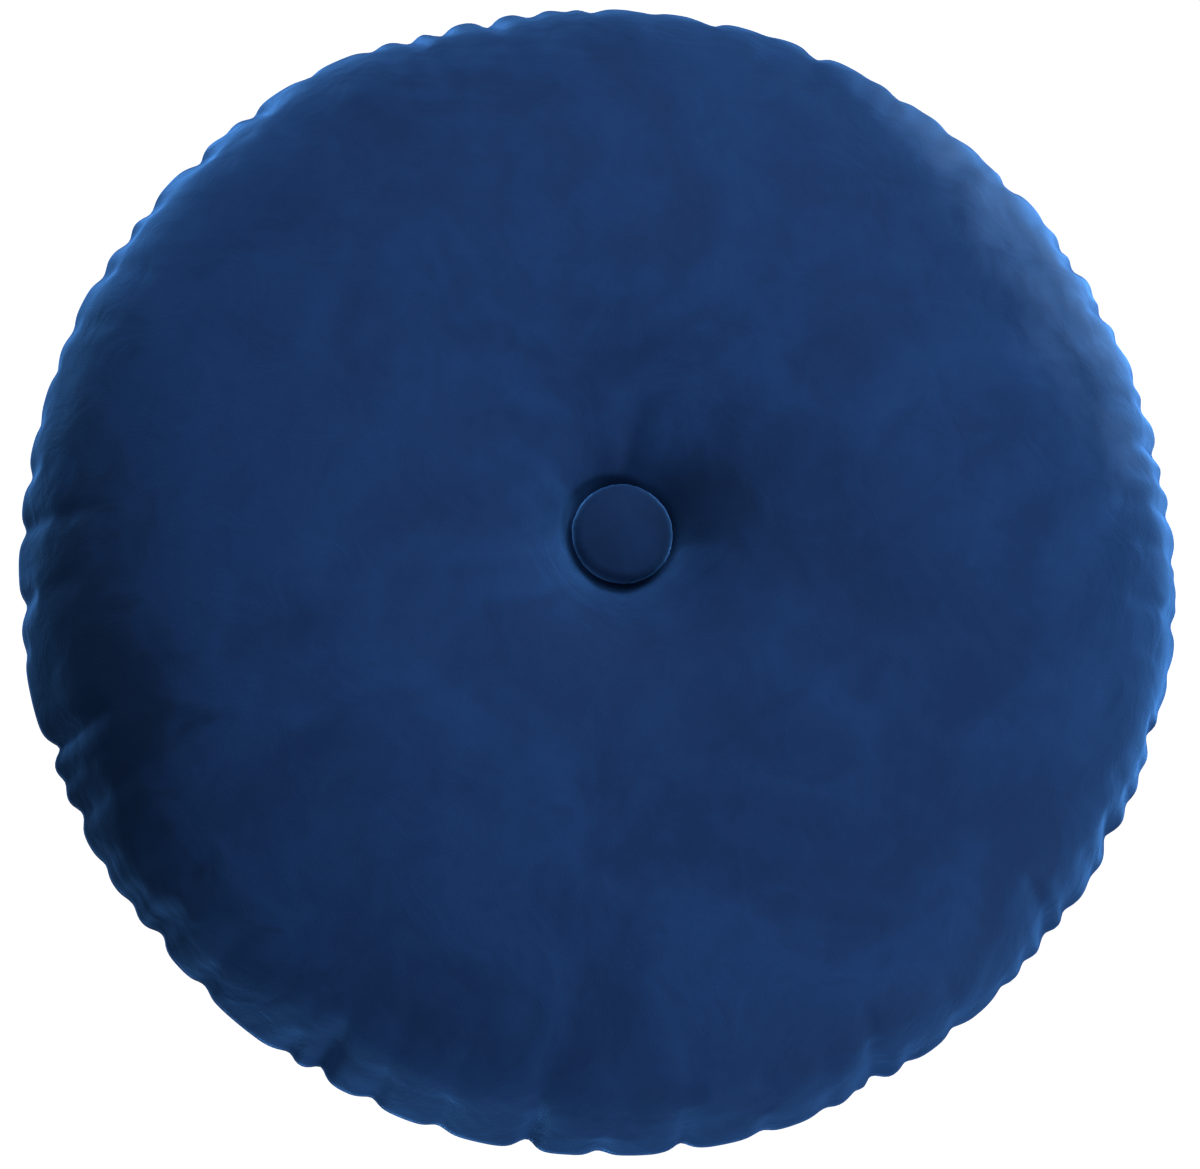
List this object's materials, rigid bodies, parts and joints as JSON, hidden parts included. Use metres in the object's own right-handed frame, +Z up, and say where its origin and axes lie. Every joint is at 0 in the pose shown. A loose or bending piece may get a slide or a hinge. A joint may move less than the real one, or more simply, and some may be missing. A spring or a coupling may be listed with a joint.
{
  "type": "seat cushion",
  "caption": "Round velvet seat cushion, knife-edge seam with puckered rim, tufted through the middle with a covered button on each face.",
  "frame": {"origin": "centre of the underside, on the surface the cushion lies on", "axes": "+Z up through both buttons; +Y along the bar of twine in each button's eye; +X completes the right-handed frame"},
  "size_m": [0.456, 0.456, 0.152],
  "materials": {
    "velvet": "short-pile navy velvet with a soft sheen and crushed nap",
    "sewing_thread": "spun polyester thread, matt",
    "wadding": "loose white polyester fibre",
    "foam": "open-cell polyurethane foam",
    "button_metal": "pressed, dull",
    "button_back": "tinned, dull",
    "eye_wire": "drawn wire",
    "twine": "waxed, slightly shiny"
  },
  "bodies": {
    "cushion": {"top_panel": "velvet", "bottom_panel": "velvet", "top_batting": "wadding", "bottom_batting": "wadding", "side_batting": "wadding", "foam_core": "foam", "needle_thread": "sewing_thread", "bobbin_thread": "sewing_thread", "overlock_thread": "sewing_thread", "closing_stitches": "sewing_thread"},
    "tuft": {"tuft_twine": "twine", "slip_knot": "twine"},
    "top_button": {"top_button_cover": "velvet", "top_button_shell": "button_metal", "top_button_back": "button_back", "top_button_eye": "eye_wire"},
    "bottom_button": {"bottom_button_cover": "velvet", "bottom_button_shell": "button_metal", "bottom_button_back": "button_back", "bottom_button_eye": "eye_wire"}
  },
  "joints": [
    {"name": "tuft_swivel", "type": "hinge", "parent": "cushion", "child": "tuft", "pos_m": [0, 0, 0.076], "axis": [0, 0, 1], "range_deg": [-30, 30], "stiffness_Nm_per_rad": 0.01},
    {"name": "top_button_rock", "type": "hinge", "parent": "tuft", "child": "top_button", "pos_m": [0, 0, 0.1225], "axis": [0, 1, 0], "range_deg": [-6, 6], "stiffness_Nm_per_rad": 0.02},
    {"name": "bottom_button_rock", "type": "hinge", "parent": "tuft", "child": "bottom_button", "pos_m": [0, 0, 0.0295], "axis": [0, 1, 0], "range_deg": [-6, 6], "stiffness_Nm_per_rad": 0.02}
  ]
}
